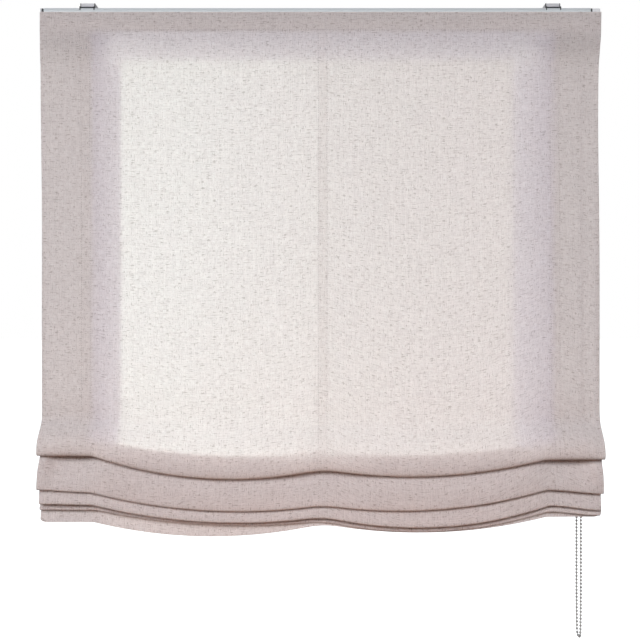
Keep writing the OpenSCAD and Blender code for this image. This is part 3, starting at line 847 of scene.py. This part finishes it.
world = bpy.data.worlds.new("studio")
scene.world = world
world.use_nodes = True
wn = world.node_tree.nodes
ambient = wn["Background"]
ambient.inputs["Color"].default_value = (1.0, 0.995, 0.99, 1.0)
ambient.inputs["Strength"].default_value = 0.10
paper = wn.new("ShaderNodeBackground")
paper.inputs["Color"].default_value = (1.0, 1.0, 1.0, 1.0)
paper.inputs["Strength"].default_value = 1.0
ray = wn.new("ShaderNodeLightPath")
pick = wn.new("ShaderNodeMixShader")
wl = world.node_tree.links
wl.new(ray.outputs["Is Camera Ray"], pick.inputs[0])
# a little light from above for soft surfaces, more of it in reflections
sky = wn.new("ShaderNodeTexCoord")
up = wn.new("ShaderNodeSeparateXYZ")
wl.new(sky.outputs["Generated"], up.inputs[0])
high = wn.new("ShaderNodeMapRange")
wl.new(up.outputs[2], high.inputs["Value"])
for k, v in zip(("From Min", "From Max", "To Min", "To Max"), (-0.1, 0.15, 0.025, 0.125)):
    high.inputs[k].default_value = v
lift = wn.new("ShaderNodeMath")
lift.operation = "MULTIPLY_ADD"
wl.new(ray.outputs["Is Glossy Ray"], lift.inputs[0])
lift.inputs[1].default_value = 0.25
wl.new(high.outputs[0], lift.inputs[2])
wl.new(lift.outputs[0], ambient.inputs["Strength"])
wl.new(ambient.outputs[0], pick.inputs[1])
wl.new(paper.outputs[0], pick.inputs[2])
wl.new(pick.outputs[0], wn["World Output"].inputs["Surface"])

floor_mat = Mat("pale_floor")
tone = floor_mat.noise(floor_mat.scaled(3, 3, 3), detail=3.0)
pale = floor_mat.principled(floor_mat.mix(tone, (0.93, 0.93, 0.93), (0.97, 0.97, 0.97)), 0.7)
pale.inputs["Emission Color"].default_value = (1, 1, 1, 1)
pale.inputs["Emission Strength"].default_value = 1.0
FAR = 40000
floor = piece(
    "floor", [(-FAR, -FAR, -1560), (FAR, -FAR, -1560), (FAR, FAR, -1560), (-FAR, FAR, -1560)], [[0, 1, 2, 3]],
    [floor_mat.finish(pale)], False,
)
floor.visible_diffuse = False
floor.visible_transmission = False
floor.visible_glossy = False

# a card high in front that softens the key light on the top of the blind
card_mat = Mat("grey_card")
tone = card_mat.noise(card_mat.scaled(6, 6, 6), detail=2.0)
card = piece(
    "light_card", [(-2000, -1200, 822), (2000, -1200, 822), (2000, -1200, 1100), (-2000, -1200, 1100)], [[0, 1, 2, 3]],
    [card_mat.finish(card_mat.principled(card_mat.mix(tone, (0.18, 0.18, 0.18), (0.22, 0.22, 0.22)), 0.9))], False,
)
card.visible_camera = False
card.visible_glossy = False


def lamp(name, place, aim, size, power, colour=(1, 1, 1), spread=180.0):
    data = bpy.data.lights.new(name, "AREA")
    data.shape = "RECTANGLE"
    data.size, data.size_y = size
    data.energy = power
    data.color = colour
    data.spread = math.radians(spread)
    ob = bpy.data.objects.new(name, data)
    ob.location = place
    v = np.array(aim, float) - np.array(place, float)
    v /= np.linalg.norm(v)
    ob.rotation_euler = (math.acos(max(-1.0, min(1.0, -v[2]))), 0.0, math.atan2(v[0], -v[1]) + math.pi)
    ob.visible_camera = False
    scene.collection.objects.link(ob)
    return ob


key = lamp("key", (-1.6, -6.2, 2.9), (0, 0, -0.75), (5.0, 3.0), 524.0, (0.955, 0.985, 1.015))
key.visible_glossy = False
spark = lamp("spark", (0.9, -3.6, 3.2), (0, 0, -0.5), (0.7, 0.7), 16.0)
spark.visible_diffuse = False
lamp("warm_low", (0.0, -0.45, -1.15), (0, -0.04, -0.82), (1.0, 0.14), 0.74, (1.0, 0.48, 0.28))

back_fill = lamp("back_fill", (0.0, 5.0, 4.2), (0, 0, -0.45), (8.0, 2.5), 205.0, (0.86, 0.97, 1.0))
back_fill.visible_glossy = False


def glow(name, x0, x1, z0, z1, low=False):
    """Soft light close behind the cloth: a bright field with a dimmer, bluer border, or a low strip behind the hem."""
    ob = lamp(name, ((x0 + x1) / 2, -0.0094, (z0 + z1) / 2), (0, -1, (z0 + z1) / 2), (x1 - x0, z1 - z0), math.pi * (x1 - x0) * (z1 - z0))
    ob.rotation_euler = (-math.pi / 2, 0, 0)
    data = ob.data
    data.spread = math.radians(180 if low else 60)
    data.use_nodes = True
    nt = data.node_tree
    emit = next(n for n in nt.nodes if n.type == "EMISSION")
    emit.inputs["Strength"].default_value = 1.0
    geo = nt.nodes.new("ShaderNodeNewGeometry")
    uv = nt.nodes.new("ShaderNodeSeparateXYZ")
    nt.links.new(geo.outputs["Parametric"], uv.inputs[0])

    def ramp(value, a, b, c, d):
        n = nt.nodes.new("ShaderNodeMapRange")
        nt.links.new(value, n.inputs["Value"])
        for k, v in zip(("From Min", "From Max", "To Min", "To Max"), (a, b, c, d)):
            n.inputs[k].default_value = v
        return n.outputs[0]

    def op(kind, a, b):
        n = nt.nodes.new("ShaderNodeMath")
        n.operation = kind
        for s, v in zip(n.inputs, (a, b)):
            if isinstance(v, bpy.types.NodeSocket):
                nt.links.new(v, s)
            else:
                s.default_value = v
        return n.outputs[0]

    x = ramp(uv.outputs[0], 0.0, 1.0, x0 * 1000, x1 * 1000)
    z = ramp(uv.outputs[1], 0.0, 1.0, z1 * 1000, z0 * 1000)
    if low:
        strip = op("ADD", ramp(x, -400, -350, 0.0, 0.36), ramp(x, -20, 60, 0.0, -0.20))
        nt.links.new(op("ADD", strip, ramp(x, 350, 400, 0.0, -0.16)), emit.inputs["Strength"])
        return ob
    field = op("MULTIPLY", ramp(x, -342, -336, 0, 1), ramp(x, 331, 325, 0, 1))
    field = op("MULTIPLY", field, ramp(z, -93, -98, 0, 1))
    border = op("MULTIPLY", ramp(x, -386, -341, 0, 1), ramp(x, 396, 329, 0, 1))
    border = op("MULTIPLY", border, op("SUBTRACT", ramp(z, -50, -74, 0.54, 1.22), ramp(z, -98, -125, 0.0, 0.52)))
    border = op("MULTIPLY", border, op("ADD", ramp(x, -340, 320, 0.84, 0.52), ramp(x, 322, 340, 0.0, 0.29)))
    bright = op("SUBTRACT", ramp(x, -230, -10, 1.60, 1.27), ramp(x, -10, 40, 0.0, 0.15))
    bright = op("SUBTRACT", bright, ramp(x, 40, 325, 0.0, 0.24))
    bright = op("MULTIPLY", bright, op("SUBTRACT", ramp(z, -95, -420, 0.91, 0.985), ramp(z, -420, -740, 0.0, 0.045)))
    red = ramp(x, -230, 325, 0.73, 0.82)
    # an even, weaker light over the whole panel that ends above the folds
    inside = op("MULTIPLY", ramp(x, -389, -385, 0, 1), ramp(x, 400, 396, 0, 1))
    end = op("MULTIPLY", ramp(z, -652, -704, 0, 1), ramp(op("MULTIPLY", ramp(x, -386, -330, 0, 1), ramp(x, 396, 320, 0, 1)), 0, 1, 1.0, 0.25))
    even = op("MULTIPLY", ramp(z, -100, -640, 0.05, 0.56), op("SUBTRACT", 1.0, end))
    even = op("MULTIPLY", even, ramp(z, -50, -80, 0.3, 1.0))
    mixed = nt.nodes.new("ShaderNodeCombineXYZ")
    for s, inner, outer, extra, all_over in zip(mixed.inputs, (red, 1.0, 1.035), (0.80, 1.0, 1.0), (0.0, 0.0, 0.2), (0.49, 0.58, 0.64)):
        side = op("ADD", op("MULTIPLY", border, outer), op("MULTIPLY", inside, extra))
        full = op("MULTIPLY", bright, inner)
        both = op("ADD", op("MULTIPLY", full, field), op("MULTIPLY", side, op("SUBTRACT", 1.0, field)))
        nt.links.new(op("ADD", both, op("MULTIPLY", even, all_over)), s)
    nt.links.new(mixed.outputs[0], emit.inputs["Color"])
    return ob


glow("glow", -0.468, 0.468, -0.800, -0.050)
glow("hem_glow", -0.460, 0.460, -0.912, -0.866, True)

# ---------------------------------------------------------------- end

bpy.context.view_layer.update()
